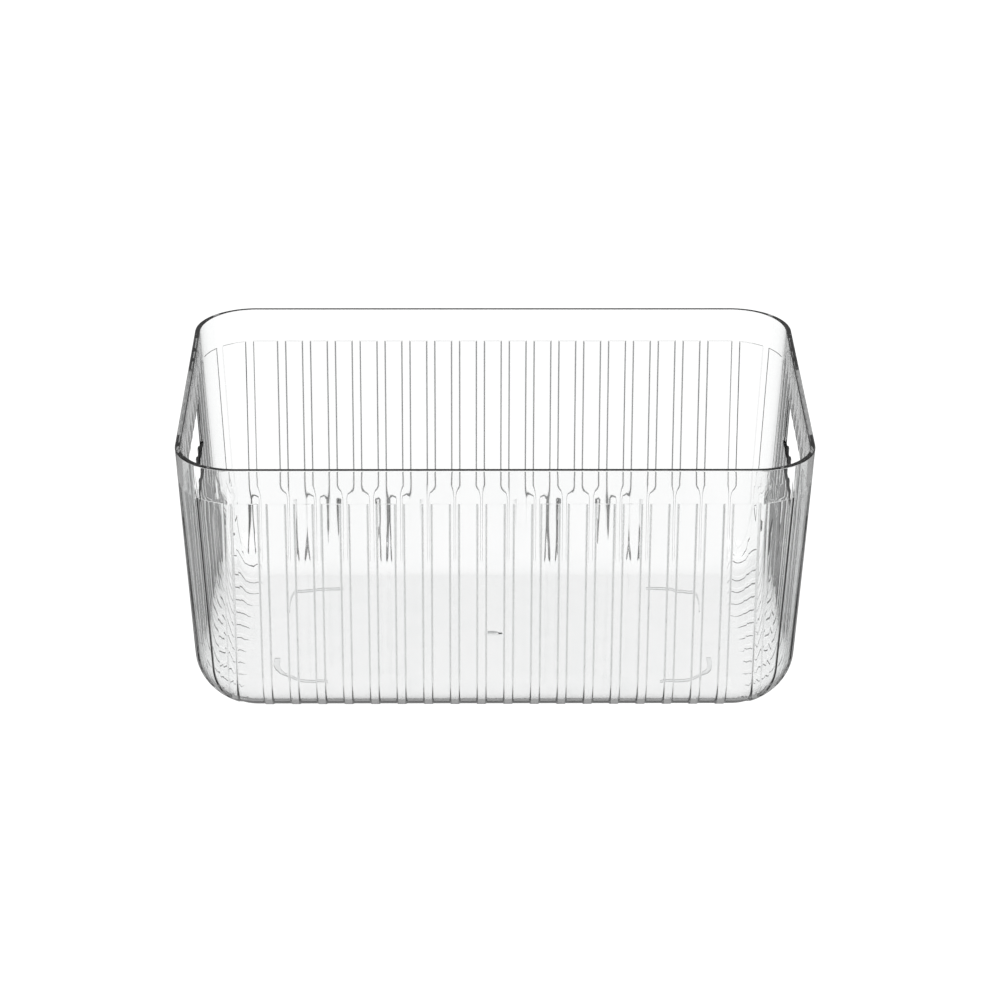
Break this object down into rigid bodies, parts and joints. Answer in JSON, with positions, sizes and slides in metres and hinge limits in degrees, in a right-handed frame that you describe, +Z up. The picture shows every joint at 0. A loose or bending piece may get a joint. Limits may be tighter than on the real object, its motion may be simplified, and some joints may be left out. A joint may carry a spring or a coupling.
{
  "type": "fridge bin",
  "caption": "Clear rectangular storage bin with drafted ribbed walls, a plain rim band, a grip slot through each end wall and L-shaped corner feet.",
  "frame": {"origin": "centre of the base, on the surface that the feet stand on", "axes": "+X along the long side towards the right end wall, +Y towards the back wall, +Z up"},
  "size_m": [0.305, 0.203, 0.14],
  "materials": {
    "clear_plastic": "clear, glossy, injection moulded",
    "foot_plastic": "clear, lightly scuffed underneath"
  },
  "bodies": {
    "root": {"bin_body": "clear_plastic", "foot_front_left": "foot_plastic", "foot_front_right": "foot_plastic", "foot_back_left": "foot_plastic", "foot_back_right": "foot_plastic"}
  },
  "joints": []
}
